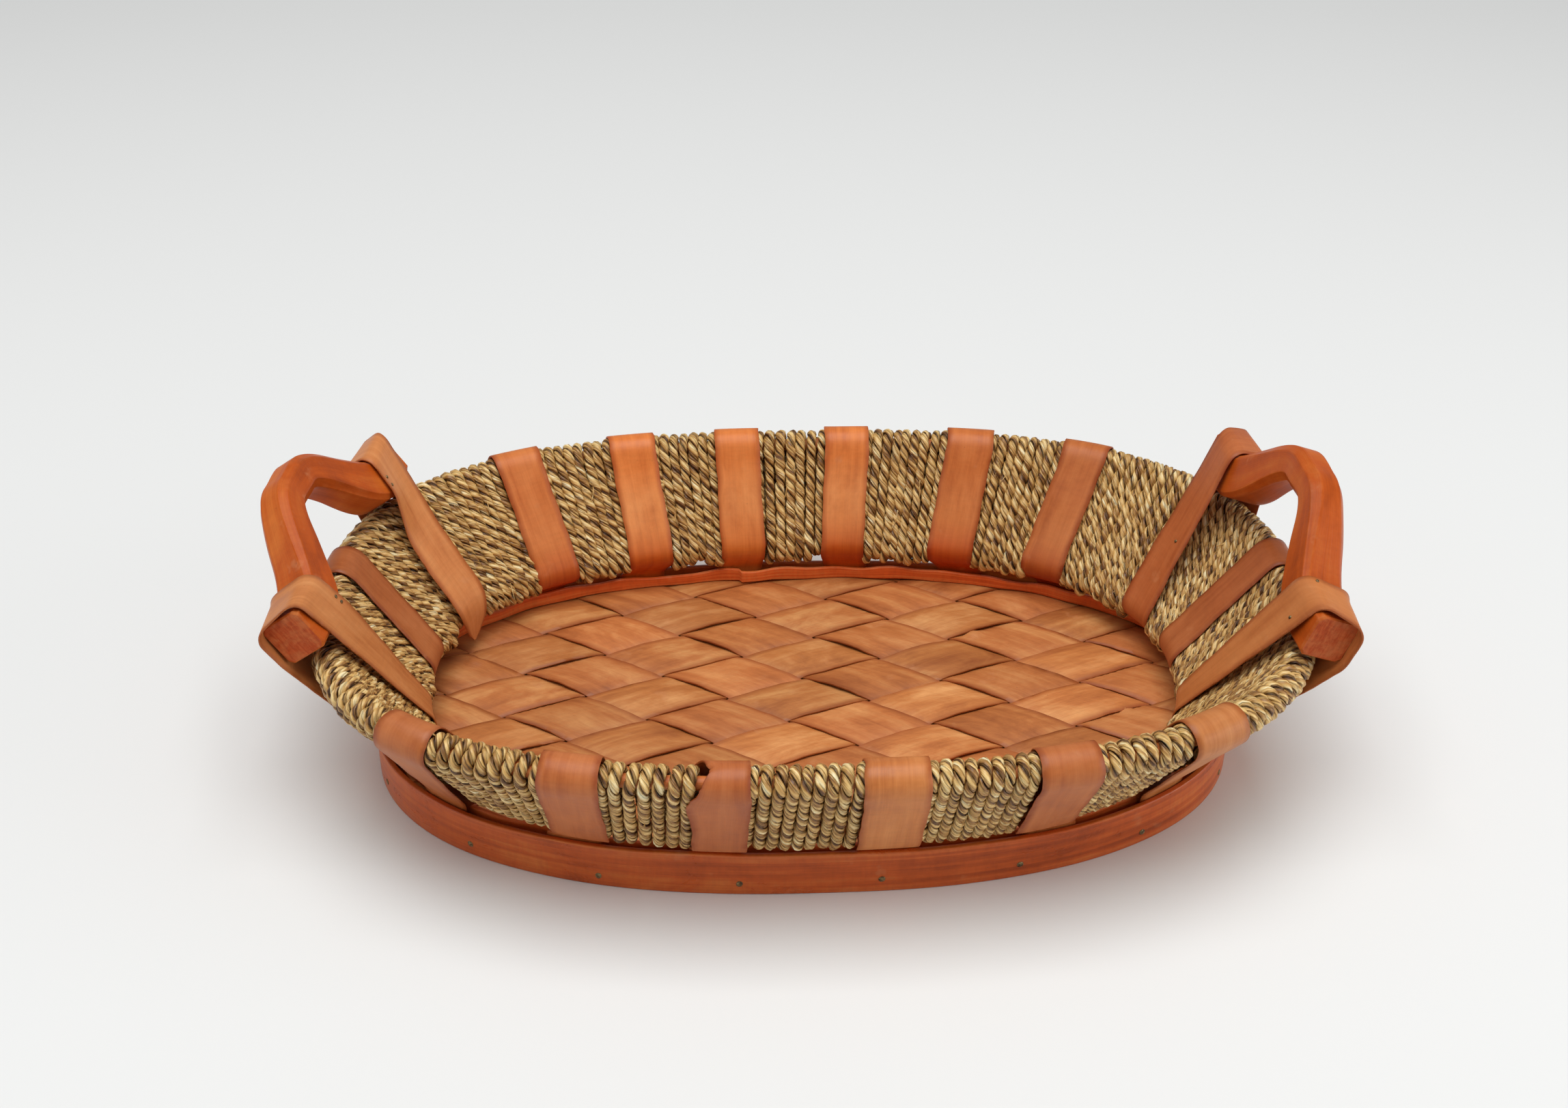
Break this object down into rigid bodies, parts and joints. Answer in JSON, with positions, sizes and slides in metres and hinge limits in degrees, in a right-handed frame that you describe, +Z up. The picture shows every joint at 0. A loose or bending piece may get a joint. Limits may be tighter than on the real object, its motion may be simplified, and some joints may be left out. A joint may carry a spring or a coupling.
{
  "type": "serving tray",
  "caption": "Oval serving tray with a woven veneer floor, a flaring wall wound with seagrass cord, upright veneer bands and a strapped wooden bow handle at each end.",
  "frame": {"origin": "below the middle of the whole tray's bounding box, on the surface that the tray stands on", "axes": "+X along the tray's length towards the handle at the picture's right, +Y away from the viewer, +Z up"},
  "size_m": [0.451, 0.28, 0.1338],
  "materials": {
    "stained_wood": "red-orange stain, satin",
    "rod_wood": "orange stain, matt",
    "band_veneer": "stained peeled veneer, satin",
    "floor_veneer": "stained peeled veneer, dry satin",
    "seagrass_cord": "two-ply twisted seagrass, dry"
  },
  "bodies": {
    "root": {"band_back_1": "band_veneer", "band_back_2": "band_veneer", "band_back_3": "band_veneer", "band_back_4": "band_veneer", "band_back_5": "band_veneer", "band_back_6": "band_veneer", "band_end_left": "band_veneer", "band_end_right": "band_veneer", "band_front_1": "band_veneer", "band_front_2": "band_veneer", "band_front_3": "band_veneer", "band_front_4": "band_veneer", "band_front_5": "band_veneer", "band_front_6": "band_veneer", "base_ledge_hoop": "rod_wood", "base_outer_hoop": "stained_wood", "base_retaining_strip": "stained_wood", "cord_winding_01": "seagrass_cord", "cord_winding_02": "seagrass_cord", "cord_winding_03": "seagrass_cord", "cord_winding_04": "seagrass_cord", "cord_winding_05": "seagrass_cord", "cord_winding_06": "seagrass_cord", "cord_winding_07": "seagrass_cord", "cord_winding_08": "seagrass_cord", "cord_winding_09": "seagrass_cord", "cord_winding_10": "seagrass_cord", "cord_winding_11": "seagrass_cord", "cord_winding_12": "seagrass_cord", "cord_winding_13": "seagrass_cord", "cord_winding_14": "seagrass_cord", "floor_strip_falling_1": "floor_veneer", "floor_strip_falling_2": "floor_veneer", "floor_strip_falling_3": "floor_veneer", "floor_strip_falling_4": "floor_veneer", "floor_strip_falling_5": "floor_veneer", "floor_strip_falling_6": "floor_veneer", "floor_strip_falling_7": "floor_veneer", "floor_strip_falling_8": "floor_veneer", "floor_strip_falling_9": "floor_veneer", "floor_strip_rising_1": "floor_veneer", "floor_strip_rising_2": "floor_veneer", "floor_strip_rising_3": "floor_veneer", "floor_strip_rising_4": "floor_veneer", "floor_strip_rising_5": "floor_veneer", "floor_strip_rising_6": "floor_veneer", "floor_strip_rising_7": "floor_veneer", "floor_strip_rising_8": "floor_veneer", "floor_strip_rising_9": "floor_veneer", "handle_left": "stained_wood", "handle_right": "stained_wood", "handle_strap_left_far": "band_veneer", "handle_strap_left_near": "band_veneer", "handle_strap_right_far": "band_veneer", "handle_strap_right_near": "band_veneer", "lower_wall_hoop": "rod_wood", "rim_hoop": "rod_wood"}
  },
  "joints": []
}
